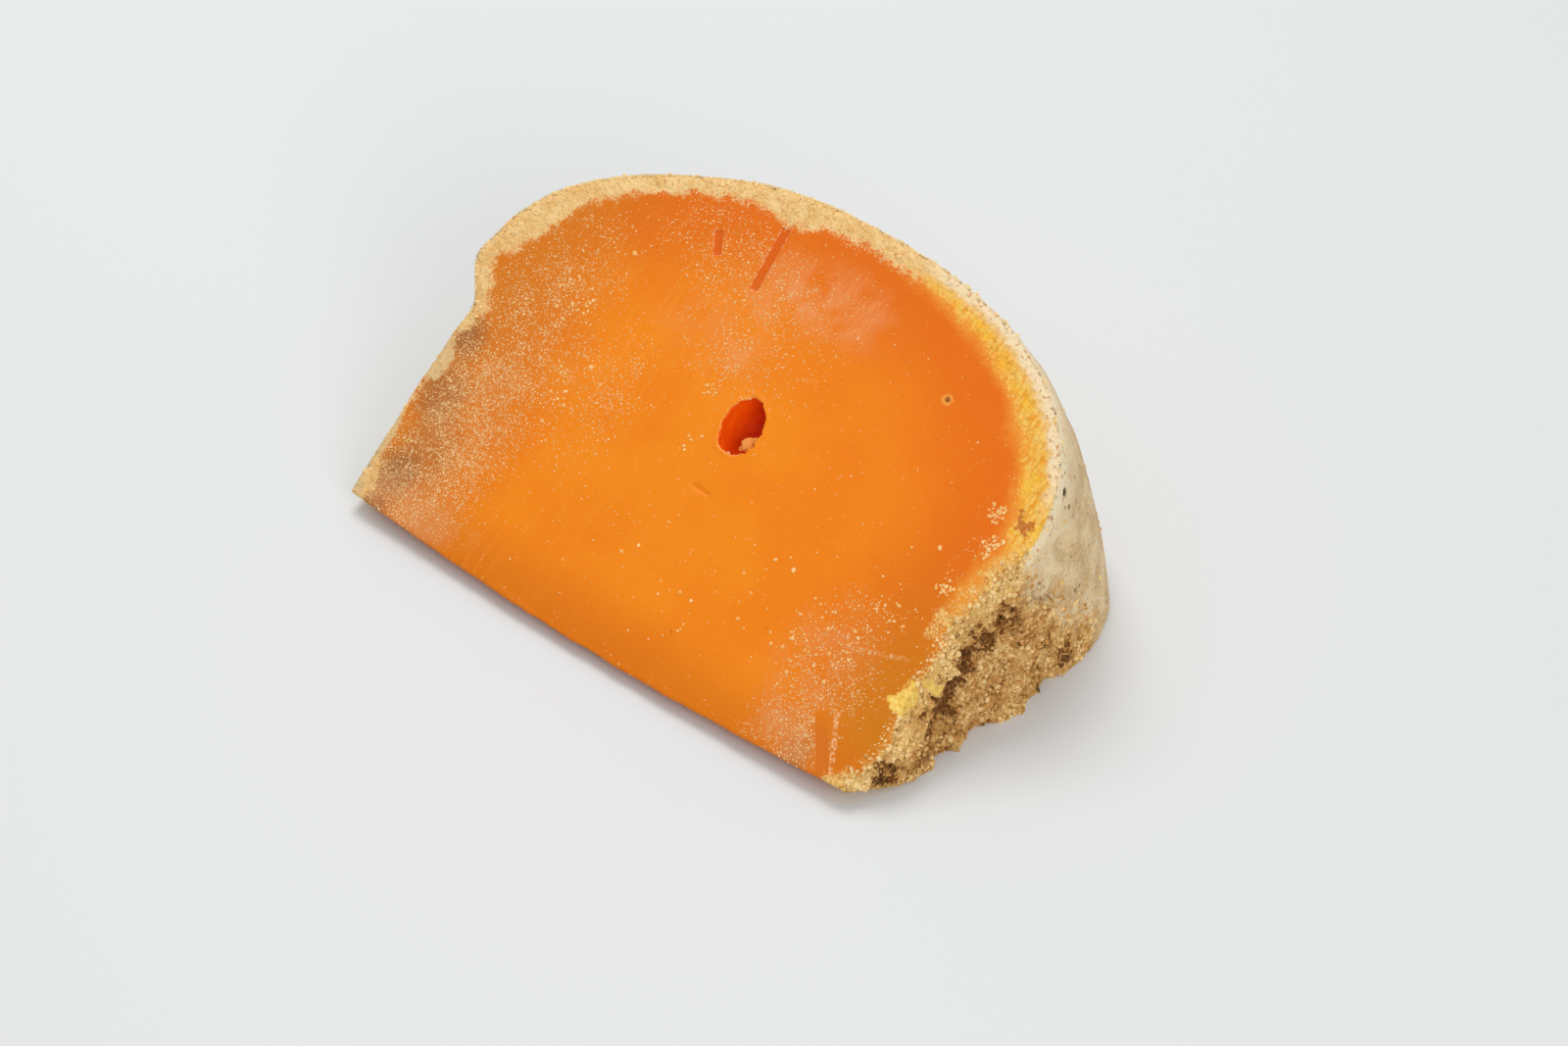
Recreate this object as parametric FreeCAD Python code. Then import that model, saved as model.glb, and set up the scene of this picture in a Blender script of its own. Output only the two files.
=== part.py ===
"""Mimolette wedge: one piece cut from a ball of old, hard cheese, lying on its lower cut face.

The ball has two flattened ends and lies with its axis along X. Two knife cuts meet in a thin,
slightly bowed edge along the front. The lower cut rests on the board, and the upper cut slopes
up to the back, where the uneven rind closes the piece. On the right end the rind has crumbled
away in overlapping hollows, with two notches at its foot. Millimetres, +Z up.
"""

import FreeCAD, Part
import math
import os

from FreeCAD import Matrix, Placement, Rotation, Vector

# The ball that the wedge was cut from
BELLY_RADIUS = 97.3        # about the axis, at the widest round
LEFT_END = 85.5            # middle of the ball to the rim of its left flattened end
RIGHT_END = 85.0           # middle of the ball to the rim of its right flattened end
FLAT_RADIUS = 48.0         # where each flattened end turns into the belly
LEFT_FULLNESS = 1.86       # how squarely the left end turns: 2 is an ellipse
RIGHT_FULLNESS = 2.3
LEFT_DIMPLE = 6.0          # how far the left end sinks in around the axis
LEFT_DIMPLE_FLOOR = 34.0   # radius of the sunken floor
LEFT_DIMPLE_RIM = 43.0     # radius where the sunken part ends
RIGHT_DIMPLE = 4.5
RIGHT_DIMPLE_FLOOR = 5.0
RIGHT_DIMPLE_RIM = 40.0
UNEVENNESS = 0.6           # gentle swell of the rind: three broad waves round it, and seven narrow
BROAD_WAVES, BROAD_DRIFT = 3, 0.06     # waves round the ball, and their turn per millimetre of height
NARROW_WAVES, NARROW_DRIFT = 7, -0.09

# The right end bulges towards the board
RIGHT_LEAN = 5.0           # how much further it reaches at the board
LOW_FULLNESS = 0.1         # and how much more squarely it turns there
LEAN_HEIGHT = 48.0         # height over which both run out

# The two cuts
WEDGE_ANGLE = 34.0         # between the lower and the upper cut
AXIS_INSET = 24.5          # ends of the front edge to the ball's axis, along the board
AXIS_HEIGHT = 11.0         # the ball's axis above the board
END_LIFT = 5.0             # the thin front edge has curled up off the board, most at its ends
MIDDLE_LIFT = 2.6
CURL_HALF_SPAN = 77.0      # from the middle of the front edge to where the end lift is reached
LIFT_RUN = 26.0            # depth from the front over which the curl settles onto the board
CURL_KINK = 0.15           # share of the lift that rises straight from there
EDGE_RADIUS = 0.8          # rounding of the thin edge
CURL_STATIONS = 7          # sections that the curled underside is lofted through

# The crumbled rind on the right end
CORNER_LOSS = 10.0         # crumbled off the front right corner
CORNER_RUN = 24.0          # depth from the front that the crumbled corner takes
RIM_SCOOPS = 6             # hollows out of the upper rim
RIM_SCOOP_START = 17.0     # depth from the front of the first and the last of them
RIM_SCOOP_END = 50.0
RIM_SCOOP_RADIUS = 8.5
RIM_SCOOP_BITE = 3.6       # how deep they go, sideways
WALL_SCOOPS = 14           # smaller ones over the broken wall below
WALL_SCOOP_START = 29.0
WALL_SCOOP_END = 86.0
WALL_SCOOP_RADIUS = 6.5
WALL_SCOOP_BITE = 1.8
WALL_SCOOP_LOWEST = 0.05   # height of the lowest and the highest, as shares of the wall's
WALL_SCOOP_HIGHEST = 0.7
SCOOP_VARIATION = 0.35     # share by which the hollows differ in size
SCOOP_LENGTH = 1.5         # a hollow's longer side over its shorter one
NOTCHES = (28.0, 64.5)     # depth from the front of the notches in the foot of the wall
NOTCH_RADIUS = 5.0         # at the board, from where they narrow upwards
NOTCH_TOP_RADIUS = 1.5
NOTCH_HEIGHT = 20.0
NOTCH_BITE = 3.0

# The gas hole in the upper cut
EYE_RIGHT = 3.4            # from the middle of the front edge
EYE_UP_SLOPE = 62.7        # from the front edge, up the cut
EYE_WIDTH = 10.8
EYE_LENGTH = 14.8
EYE_DEPTH = 10.0
EYE_TURN = 4.5             # of its long side from the line straight up the cut

LEVELS = 12                # outlines that the rind is lofted through
LEVEL_MARGIN = 3.0         # the loft reaches this far past the two cuts
OUTLINE_POINTS = 72
GOLDEN = (math.sqrt(5) - 1) / 2
EPS = 1e-6

SLOPE = math.radians(WEDGE_ANGLE)


def smooth_step(low, high, value):
    t = min(1.0, max(0.0, (value - low) / (high - low)))
    return t * t * (3 - 2 * t)


def lean_share(z):
    """1 at the board, fading out upwards."""
    return 2 - 2 * smooth_step(-LEAN_HEIGHT, LEAN_HEIGHT, z)


def end_reach(side, y, z):
    """Distance from the ball's middle to its flattened end, at one place on that end."""
    from_axis = math.hypot(y - AXIS_INSET, z - AXIS_HEIGHT)
    if side < 0:
        return LEFT_END - LEFT_DIMPLE * (1 - smooth_step(LEFT_DIMPLE_FLOOR, LEFT_DIMPLE_RIM, from_axis))
    dimple = RIGHT_DIMPLE * (1 - smooth_step(RIGHT_DIMPLE_FLOOR, RIGHT_DIMPLE_RIM, from_axis))
    corner = CORNER_LOSS * min(1.0, max(0.0, 1 - y / CORNER_RUN)) ** 2
    return RIGHT_END + RIGHT_LEAN * lean_share(z) - dimple - corner


def outside_ball(x, y, z):
    """Negative inside the ball and positive outside it."""
    side = 1 if x > 0 else -1
    from_axis = math.hypot(y - AXIS_INSET, z - AXIS_HEIGHT)
    along = abs(x) / end_reach(side, y, z)
    if from_axis <= FLAT_RADIUS:
        return along - 1
    around = (from_axis - FLAT_RADIUS) / (BELLY_RADIUS - FLAT_RADIUS)
    fullness = RIGHT_FULLNESS + LOW_FULLNESS * lean_share(z) if side > 0 else LEFT_FULLNESS
    return along ** fullness + around ** fullness - 1


def rind_point(angle, z):
    """Where a level ray from the axis, at this angle from +X, meets the rind."""
    dx, dy = math.cos(angle), math.sin(angle)
    near, far = 0.0, 2 * BELLY_RADIUS
    while far - near > EPS:
        middle = (near + far) / 2
        if outside_ball(middle * dx, AXIS_INSET + middle * dy, z) < 0:
            near = middle
        else:
            far = middle
    broad = math.sin(BROAD_WAVES * angle + BROAD_DRIFT * z)
    narrow = math.sin(NARROW_WAVES * angle + NARROW_DRIFT * z + 1)
    reach = near + UNEVENNESS * (broad + narrow / 2)
    return Vector(reach * dx, AXIS_INSET + reach * dy, z)


def rind_outline(z):
    points = [rind_point(2 * math.pi * i / OUTLINE_POINTS, z) for i in range(OUTLINE_POINTS)]
    curve = Part.BSplineCurve()
    curve.interpolate(Points=points, PeriodicFlag=True, Parameters=list(range(OUTLINE_POINTS + 1)))
    return Part.Wire(curve.toShape())


def wedge_height():
    """Height above the board at which the upper cut leaves the ball."""
    to_axis = AXIS_INSET * math.cos(SLOPE) + (AXIS_HEIGHT - END_LIFT) * math.sin(SLOPE)
    beside_axis = AXIS_INSET * math.sin(SLOPE) - (AXIS_HEIGHT - END_LIFT) * math.cos(SLOPE)
    return END_LIFT + (to_axis + math.sqrt(BELLY_RADIUS ** 2 - beside_axis ** 2)) * math.sin(SLOPE)


def ball_slab():
    """The part of the ball between the levels of the board and of the wedge's top."""
    depth = wedge_height() + 2 * LEVEL_MARGIN
    heights = [depth * i / (LEVELS - 1) - LEVEL_MARGIN for i in range(LEVELS)]
    return Part.makeLoft([rind_outline(z) for z in heights], True)


def curl_section(x):
    """What the curled front edge leaves empty under the wedge, in section across X."""
    lift = MIDDLE_LIFT + (END_LIFT - MIDDLE_LIFT) * (x / CURL_HALF_SPAN) ** 2
    ahead = -LIFT_RUN / 2

    def curl(y):
        run = 1 - y / LIFT_RUN
        return Vector(x, y, lift * run * (CURL_KINK + (1 - CURL_KINK) * run))

    below = Vector(0, 0, -LEVEL_MARGIN)
    settled = curl(LIFT_RUN)
    tip = curl(ahead)
    return Part.Wire([
        Part.Arc(settled, curl((LIFT_RUN + ahead) / 2), tip).toShape(),
        Part.makePolygon([tip, Vector(x, ahead, 0) + below, settled + below, settled]),
    ])


def between_the_cuts():
    """A long bar with the wedge's own section: lower cut, curled and rounded thin edge, upper cut."""
    reach = max(LEFT_END, RIGHT_END) + 2 * RIGHT_LEAN + LEVEL_MARGIN
    back = 2 * BELLY_RADIUS
    front = -END_LIFT / math.tan(SLOPE)
    corners = [Vector(-reach, y, z) for y, z in
               ((front, 0), (back, 0), (back, upper_cut_height(back)), (front, 0))]
    bar = Part.Face(Part.makePolygon(corners)).extrude(Vector(2 * reach, 0, 0))
    span = reach + LEVEL_MARGIN
    stations = [span * (2 * i / (CURL_STATIONS - 1) - 1) for i in range(CURL_STATIONS)]
    bar = bar.cut(Part.makeLoft([curl_section(x) for x in stations], True))
    thin_edge = min((e for e in bar.Edges if e.BoundBox.XLength > reach),
                    key=lambda e: e.CenterOfMass.y)
    return bar.makeFillet(EDGE_RADIUS, [thin_edge])


def upper_cut_height(y):
    return END_LIFT + y * math.tan(SLOPE)


def varied(index):
    """A size factor about 1 that differs from one hollow to the next."""
    return 1 + SCOOP_VARIATION * (2 * (index * GOLDEN % 1) - 1)


def scoop(index, y, z, radius, bite):
    """An egg-shaped hollow in the right end, turned its own way."""
    radius, bite = radius * varied(index), bite * varied(index)
    stretch = Matrix()
    stretch.scale(radius, radius * math.sqrt(SCOOP_LENGTH), radius / math.sqrt(SCOOP_LENGTH))
    egg = Part.makeSphere(1.0).transformGeometry(stretch)
    egg.Placement = Placement(Vector(end_reach(1, y, z) + radius - bite, y, z),
                              Rotation(Vector(1, 0, 0), 360 * (index * GOLDEN % 1)))
    return egg


def notch(y):
    """A cleft in the foot of the right end that narrows upwards."""
    centre = Vector(end_reach(1, y, 0) + NOTCH_RADIUS - NOTCH_BITE, y, -LEVEL_MARGIN)
    return Part.makeCone(NOTCH_RADIUS, NOTCH_TOP_RADIUS, NOTCH_HEIGHT, centre)


def broken_rind():
    hollows = [notch(y) for y in NOTCHES]
    for i in range(RIM_SCOOPS):
        y = RIM_SCOOP_START + (RIM_SCOOP_END - RIM_SCOOP_START) * i / (RIM_SCOOPS - 1)
        hollows.append(scoop(i, y, upper_cut_height(y), RIM_SCOOP_RADIUS, RIM_SCOOP_BITE))
    for i in range(WALL_SCOOPS):
        y = WALL_SCOOP_START + (WALL_SCOOP_END - WALL_SCOOP_START) * i / (WALL_SCOOPS - 1)
        up = WALL_SCOOP_LOWEST + (WALL_SCOOP_HIGHEST - WALL_SCOOP_LOWEST) * ((2 * i + 1) * GOLDEN % 1)
        z = up * upper_cut_height(y)
        hollows.append(scoop(RIM_SCOOPS + i, y, z, WALL_SCOOP_RADIUS, WALL_SCOOP_BITE))
    return hollows


def eye():
    """An egg-shaped gas hole that the upper cut opened."""
    stretch = Matrix()
    stretch.scale(EYE_WIDTH / 2, EYE_LENGTH / 2, EYE_DEPTH)
    egg = Part.makeSphere(1.0).transformGeometry(stretch)
    centre = Vector(EYE_RIGHT, EYE_UP_SLOPE * math.cos(SLOPE), END_LIFT + EYE_UP_SLOPE * math.sin(SLOPE))
    turn = Rotation(Vector(1, 0, 0), WEDGE_ANGLE).multiply(Rotation(Vector(0, 0, 1), EYE_TURN))
    egg.Placement = Placement(centre, turn)
    return egg


def mimolette_wedge():
    wedge = ball_slab().common(between_the_cuts())
    return wedge.cut(broken_rind() + [eye()])


def main():
    wedge = mimolette_wedge()
    box = wedge.optimalBoundingBox(True, False)
    wedge.translate(Vector(-box.Center.x, -box.Center.y, -box.ZMin))
    print("solids", len(wedge.Solids), "valid", wedge.isValid(), "volume", round(wedge.Volume),
          "box", [round(v, 2) for v in (box.XLength, box.YLength, box.ZLength)],
          "faces", len(wedge.Faces), "moved", round(-box.Center.x, 3), round(-box.Center.y, 3))
    os.makedirs("parts", exist_ok=True)
    wedge.Solids[0].exportStep("parts/mimolette_wedge.step")


main()
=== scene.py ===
import itertools
import math

import bmesh
import bpy
import numpy as np
from mathutils import Matrix, Vector
from mathutils.kdtree import KDTree


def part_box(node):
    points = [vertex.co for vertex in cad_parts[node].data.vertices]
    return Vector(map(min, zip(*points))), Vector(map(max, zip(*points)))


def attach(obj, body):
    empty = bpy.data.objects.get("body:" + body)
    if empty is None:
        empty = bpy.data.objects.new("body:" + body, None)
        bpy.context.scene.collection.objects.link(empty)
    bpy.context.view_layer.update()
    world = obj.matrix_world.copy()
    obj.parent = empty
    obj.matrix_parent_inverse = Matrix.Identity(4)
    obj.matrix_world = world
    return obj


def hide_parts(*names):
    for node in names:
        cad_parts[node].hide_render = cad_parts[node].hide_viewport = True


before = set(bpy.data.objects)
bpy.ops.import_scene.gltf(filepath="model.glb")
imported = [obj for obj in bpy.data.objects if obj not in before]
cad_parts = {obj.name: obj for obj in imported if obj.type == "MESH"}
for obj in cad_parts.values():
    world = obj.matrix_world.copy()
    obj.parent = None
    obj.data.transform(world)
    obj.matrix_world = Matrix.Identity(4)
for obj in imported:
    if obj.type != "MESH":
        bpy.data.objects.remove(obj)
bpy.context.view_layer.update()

MM = 0.001
NODE = "mimolette_wedge"
LOW = np.array(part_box(NODE)[0]) / MM
HALF_WIDTH = 86.5                        # the wedge's left end to the middle of its thin front edge
FRONT_MIDDLE = np.array((LOW[0] + HALF_WIDTH, LOW[1], 0.0))
VOXEL = 0.34                             # how fine the wedge's own mesh is, before it is thinned
MOST_TRIANGLES = 196000

# The camera. Every place from here on is in millimetres from the middle of the front edge.
CAMERA_AZIMUTH = math.radians(38.32)     # from straight in front, towards the crumbled end
CAMERA_ELEVATION = math.radians(42.84)
CAMERA_ROLL = math.radians(1.82)
CAMERA_LENS = 108.7
CAMERA_SENSOR = 36.0
CAMERA_AIM = (25.7, 42.5, 30.0)
CAMERA_DISTANCE = 1122.0

# Places on the upper cut: to the right, and up the slope from where its plane meets the table.
# The eye is the gas hole.
EYE = (3.4, 71.7)
EYE_HALF = (5.4, 7.4)
EYE_REACH = 1.7                          # how far its walls spread inside, in shares of its half size
EYE_DEPTH = 14
SMALL_PIT = (45.4, 101.3)
PIT_RADIUS = 0.9
SCAR = ((0.9, 53.6), (5.6, 53.4), 0.7)   # start, end, half width

# Crumbs in the eye: right, up, depth under the cut, width
EYE_CRUMBS = ((6.7, 68.6, 1.3, 3.2), (5.4, 67.2, 2.0, 2.0), (7.5, 70.2, 1.6, 1.6))

# Patches on the upper cut: right, up, half width, half height, amount
DUSTY = ((-64, 32, 26, 36, 0.75), (-64, 62, 26, 28, 0.5), (-60, 88, 22, 20, 0.3), (-36, 62, 20, 28, 0.25),
         (-26, 108, 30, 16, 0.28), (-6, 90, 30, 24, 0.2), (59, 34, 18, 26, 0.42), (56, 13, 15, 12, 0.5),
         (73, 72, 8, 12, 0.15))
# The haze patches: pinkish bloom, and near the top of the cut a painted sheen in place of a soft highlight.
HAZE_AND_SHEEN = ((8, 108, 22, 14, 1), (-10, 104, 16, 15, 0.75), (-16, 88, 26, 13, 0.4), (54, 32, 16, 22, 0.55),
        (58, 14, 14, 9, 0.9), (-60, 14, 24, 9, 1.0), (-8, 84, 4, 10, 0.6), (-62, 40, 18, 26, 0.3))
BROWNED = ((-71, 18, 9, 10, 1), (-75, 57, 8, 9, 0.9), (-72, 42, 10, 11, 0.8), (-73, 9, 9, 5, 1.1),
           (-66, 28, 11, 15, 0.5), (62, 10, 5, 9, 0.5))
BEIGE = ((-78.5, 49, 6.5, 9, 1.1), (-79.5, 26, 5, 12, 0.8), (-77.4, 12, 3.6, 5, 0.7))
GOLDEN = ((60, 106, 36, 26, 1.2), (77, 86, 18, 33, 1.3), (80, 62, 8, 16, 0.9), (38, 124, 26, 16, 0.9))
FLAKY = ((76, 76, 3.6, 4.5, 26), (72, 83, 2.6, 3.5, 22), (71, 62, 4.5, 5, 7), (64, 52, 8, 8, 2.4),
         (-7, 62, 3, 3, 6), (-6, 45, 2, 2, 6), (-10, 76, 3, 3, 5), (-44, 62, 8, 20, 1.6),
         (-56, 78, 8, 10, 3), (52, 36, 12, 16, 2), (22, 30, 40, 24, 0.25))

# Where the dry rim is wider or narrower than usual: right, up, half width, half height, extra width
RIM_WIDTH = 5.2
RIM_SWELLS = ((-74, 90, 15, 15, 3.6), (-15, 124, 9, 10, 4.0), (70, 100, 24, 30, 3.4),
              (48, 118, 20, 14, 1.8), (82, 55, 9, 22, -3), (79, 28, 16, 32, -5.0), (77, 6, 11, 10, 5.0),
              (-78, 40, 14, 36, -4.4))

# Strokes across the cut: start, end, half width
KNIFE_MARKS = (((-31.0, 109.8), (-28.8, 106.0), 1.4), ((-15.9, 118.0), (-14.7, 103.0), 1.5))
CLEAN_STRIP = ((62.4, 22.0), (71.4, 9.6), 1.8)
PALE_LINES = (((65.6, 24.0), (73.4, 10.0), 0.8), ((58.4, 39.0), (73.4, 43.6), 0.7))

# Places on the broken end that have a hole, and a stain or a dark floor of painted shade as well
HIGH_PIT, PIT_BELOW_IT, FOOT_HOLE = (81.3, 76.2, 50.1), (82.3, 77.3, 45.3), (85.2, 38.1, 3.9)
FRONT_NICK, FOOT_NICK = (76.9, 10.7, 11.0), (82.4, 12.1, 5.0)
UPPER_DENT, LOWER_DENT = (84.4, 35.5, 17.5), (84.6, 30.8, 13.1)
MIDDLE_PIT, BACK_PIT = (88.5, 64.8, 16.3), (86.7, 87.6, 14.3)

# Spots anywhere on the piece: centre from the middle of the front edge, radius, amount
HOLES = (((85.1, 25.0, 5.5), 4.2, 2.4), ((90.4, 63.3, 1.5), 4.0, 2.0), (FOOT_HOLE, 1.7, 2.8),
         (HIGH_PIT, 1.2, 1.6), (PIT_BELOW_IT, 0.8, 1.1), (FRONT_NICK, 1.5, 1.4), (FOOT_NICK, 3.0, 1.0),
         (UPPER_DENT, 2.0, 1.5), (LOWER_DENT, 2.2, 1.4), (BACK_PIT, 1.0, 1.4), (MIDDLE_PIT, 1.6, 1.4),
         ((81.0, 65.8, 48.6), 1.5, 0.8))
STAINS = (((86.3, 65.5, 30.4), 6.0, 1.0), ((84.6, 51.7, 29.1), 5.0, 0.8), ((84.9, 42.5, 24.4), 8.0, 1.0),
          (UPPER_DENT, 4.0, 0.9), (LOWER_DENT, 7.5, 1.1), (MIDDLE_PIT, 4.5, 0.8),
          ((90.3, 72.0, 5.7), 4.5, 0.8), (FOOT_NICK, 6.0, 0.8), (BACK_PIT, 2.5, 0.8), (FRONT_NICK, 3.5, 0.7))
RED_SPOTS = (((80.4, 64.5, 48.6), 4.2, 1.5), ((83.6, 90.0, 61.0), 2.6, 1.0), ((79.5, 52.0, 37.5), 4.0, 0.9),
             ((77.5, 44.0, 31.0), 3.5, 0.8), ((63.0, 105.5, 70.5), 2.4, 0.9))
STRAW = (((78.2, 24.0, 20.3), 5.2, 1.2), ((82.0, 31.0, 19.5), 3.0, 0.6))
# DARK_PITS: the darkest pits and holes, darkened with painted shade.
DARK_PITS = ((HIGH_PIT, 1.7, 1.0), (PIT_BELOW_IT, 1.1, 1.0), (FOOT_HOLE, 1.8, 1.0),
             ((86.3, 92.0, 40.0), 0.8, 1.0), ((84.0, 87.0, 52.0), 0.7, 1.0))
STAINED_FROM = 55                        # how far right the first of these spots may begin

# Loose grains: how many, and their widths as the least, what is added at most, and how rare large ones are
DUST_COUNT, DUST_WIDTHS = 9000, (0.22, 0.30, 3)
FLAKE_COUNT, FLAKE_WIDTHS = 300, (0.4, 0.8, 2)
CRUMB_COUNT, CRUMB_WIDTHS = 9600, (0.26, 1.3, 5)

# Their darkest, usual and lightest shades
DUST_SHADES = (238, 172, 96), (246, 196, 130), (255, 222, 172)
FLAKE_SHADES = (234, 146, 66), (244, 182, 104), (250, 212, 150)
CRUMB_SHADES = (124, 72, 26), (206, 152, 82), (246, 210, 146)

# The room, in metres in the frame. Lamps: name, width, power, place
TABLE_HALF = 6.0
SKY_STRENGTH = 0.72
LAMPS = (("window", 0.6, 6.5, (-0.45, 0.3, 1.1)), ("fill", 0.8, 6.5, (1.1, -0.55, 0.75)))
LAMP_AIM = (0, 0, 0.03)


# ---------------------------------------------------------------- shader arithmetic

class Flow:
    """One socket of a finish's nodes, for use in ordinary arithmetic."""

    def __init__(self, finish, source):
        self.finish, self.source = finish, source

    def maths(self, operation, *values):
        return self.finish.node("ShaderNodeMath", {"operation": operation}, dict(enumerate(values)))

    def __add__(self, other):
        return self.maths("ADD", self, other)

    def __sub__(self, other):
        return self.maths("SUBTRACT", self, other)

    def __rsub__(self, other):
        return self.maths("SUBTRACT", other, self)

    def __mul__(self, other):
        return self.maths("MULTIPLY", self, other)

    __radd__ = __add__
    __rmul__ = __mul__

    def at_most(self, other):
        return self.maths("MINIMUM", self, other)

    def at_least(self, other):
        return self.maths("MAXIMUM", self, other)

    def unsigned(self):
        return self.maths("ABSOLUTE", self)

    def rise(self, low, high):
        """0 at low and beyond it, 1 at high and beyond it, smooth between."""
        return self.finish.node(
            "ShaderNodeMapRange", {"interpolation_type": "SMOOTHSTEP"},
            {"Value": self, "From Min": low, "From Max": high})


class Finish:
    """A material made of nodes, with places in millimetres from the middle of the front edge."""

    def __init__(self, name, **shader):
        self.material = bpy.data.materials.new(name)
        self.material.use_nodes = True
        self.nodes = self.material.node_tree.nodes
        self.links = self.material.node_tree.links
        self.shader = self.nodes["Principled BSDF"]
        for socket, value in shader.items():
            self.shader.inputs[socket.replace("_", " ")].default_value = value
        metres = self.node("ShaderNodeTexCoord", output="Object")
        self.place = self.vector("MULTIPLY_ADD", metres, (1 / MM,) * 3, tuple(-FRONT_MIDDLE))

    def node(self, kind, settings=None, inputs=None, output=0):
        made = self.nodes.new(kind)
        for name, value in (settings or {}).items():
            setattr(made, name, value)
        for name, value in (inputs or {}).items():
            if isinstance(value, Flow):
                self.links.new(value.source, made.inputs[name])
            else:
                made.inputs[name].default_value = value
        if isinstance(output, tuple):
            return [Flow(self, made.outputs[one]) for one in output]
        return Flow(self, made.outputs[output])

    def vector(self, operation, *values):
        output = 1 if operation in ("DOT_PRODUCT", "DISTANCE") else 0
        return self.node("ShaderNodeVectorMath", {"operation": operation}, dict(enumerate(values)), output)

    def along(self, direction, start=(0, 0, 0)):
        """How many millimetres a place is from a start, along a direction."""
        return self.vector("DOT_PRODUCT", self.place, tuple(direction)) - float(np.dot(start, direction))

    def mix(self, share, first, second):
        """Goes from the first colour to the second as share goes from 0 to 1."""
        colours = [value if isinstance(value, Flow) else (*value, 1.0) for value in (first, second)]
        return self.node("ShaderNodeMix", {"data_type": "RGBA"},
                         {"Factor": share, 6: colours[0], 7: colours[1]}, output=2)

    def noise(self, size, detail, at=None):
        """Noise mostly between 0.3 and 0.7, with features about this many millimetres wide."""
        return self.node("ShaderNodeTexNoise", {}, {
            "Vector": at or self.place, "Scale": 1 / size, "Detail": detail})

    def wobble(self, size, detail, amount):
        """The same noise around 0, times an amount. It makes an edge or a height uneven."""
        return (self.noise(size, detail) - 0.5) * amount

    def specks(self, spacing, share, radius):
        """Round specks scattered this far apart, on about this share of their places."""
        distance, number = self.node("ShaderNodeTexVoronoi", {}, {
            "Vector": self.place, "Scale": 1 / spacing}, output=(0, 1))
        number = self.node("ShaderNodeSeparateColor", {}, {"Color": number})
        return distance.rise(radius, 0.6 * radius) * (share - number).rise(0.0, 0.1)

    def near(self, centre, radius):
        """1 at a place in millimetres, falling to 0 at a radius from it."""
        return self.vector("DISTANCE", self.place, tuple(centre)).rise(radius, 0.4 * radius)

    def measured(self, name):
        """What was measured on the mesh under this name."""
        return self.node("ShaderNodeAttribute", {"attribute_name": name}, output="Fac")

    def bump(self, height, distance):
        """Fine relief that only the light shows, with its full height in millimetres."""
        return self.node("ShaderNodeBump", {}, {"Height": height, "Distance": distance * MM})

    def wear(self, **sockets):
        """Links the values that change over the surface."""
        for name, value in sockets.items():
            self.links.new(value.source, self.shader.inputs[name.replace("_", " ")])
        return self.material


def srgb(red, green, blue):
    """A colour as seen on a screen, 0 to 255, as the shader's linear values."""
    return tuple((v / 255 / 12.92) if v <= 10 else ((v / 255 + 0.055) / 1.055) ** 2.4
                 for v in (red, green, blue))


# ---------------------------------------------------------------- noise for shapes

def smooth_step(low, high, values):
    share = np.clip((values - low) / (high - low), 0, 1)
    return share * share * (3 - 2 * share)


def hashed(lattice, seed):
    """A repeatable number from 0 to 1 for each lattice point."""
    mixed = np.uint64(seed * 2654435761 % 2**32)
    for axis, factor in enumerate((73856093, 19349663, 83492791)):
        mixed = mixed ^ (lattice[..., axis].astype(np.uint64) * np.uint64(factor))
        mixed = (mixed ^ (mixed >> np.uint64(15))) * np.uint64(2246822519)
        mixed = mixed & np.uint64(0xFFFFFFFF)
    mixed = mixed ^ (mixed >> np.uint64(13))
    return (mixed & np.uint64(0xFFFFFF)).astype(float) / 0xFFFFFF


def lattice_of(places, size):
    """Which cell of a lattice each place is in, and where inside it."""
    scaled = places / size + 1000.0
    cell = np.floor(scaled).astype(np.int64)
    return cell, scaled - cell


def wavy(places, size, seed):
    """Smooth noise from -1 to 1, with features about this many millimetres wide."""
    cell, part = lattice_of(places, size)
    ease = part * part * (3 - 2 * part)
    total = np.zeros(len(places))
    for corner in itertools.product((0, 1), repeat=3):
        share = np.prod(np.where(corner, ease, 1 - ease), axis=1)
        total += share * hashed(cell + np.array(corner), seed)
    return 2 * total - 1


def clumps(places, size, seed):
    """Distance to the nearest of points scattered this many millimetres apart, in shares of that
    spacing, and that point's own number from 0 to 1."""
    cell, part = lattice_of(places, size)
    nearest = np.full(len(places), 9.0)
    number = np.zeros(len(places))
    for step in itertools.product((-1, 0, 1), repeat=3):
        near = cell + np.array(step)
        point = step + np.stack([hashed(near, seed + k) for k in range(3)], axis=1)
        distance = np.linalg.norm(part - point, axis=1)
        closer = distance < nearest
        nearest[closer] = distance[closer]
        number[closer] = hashed(near[closer], seed + 3)
    return nearest, number


def patchwork(right, up, patches):
    """How much of a set of soft oval patches lies on each place of the cut. An amount may be below 0."""
    total = np.zeros(len(right))
    for centre_right, centre_up, half_right, half_up, amount in patches:
        away = np.hypot((right - centre_right) / half_right, (up - centre_up) / half_up)
        total += amount * smooth_step(1.0, 0.25, away)
    return total


def spots(places, centres):
    """How much each place lies in a set of round spots."""
    total = np.zeros(len(places))
    for centre, radius, amount in centres:
        away = np.linalg.norm(places - centre, axis=1) / radius
        total += amount * smooth_step(1.0, 0.35, away)
    return total


def only_at(wanted, relief, places):
    """Works out several rows of a relief at the wanted places. They are 0 at the others."""
    worked = np.atleast_2d(relief(places[wanted]))
    rows = np.zeros((len(worked), len(places)))
    rows[:, wanted] = worked
    return rows


# ---------------------------------------------------------------- the wedge's own geometry

def from_frame(points):
    """Places in metres in the frame, as millimetres from the middle of the front edge."""
    return np.asarray(points) / MM - FRONT_MIDDLE


def to_frame(places):
    return (np.asarray(places) + FRONT_MIDDLE) * MM


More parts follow.
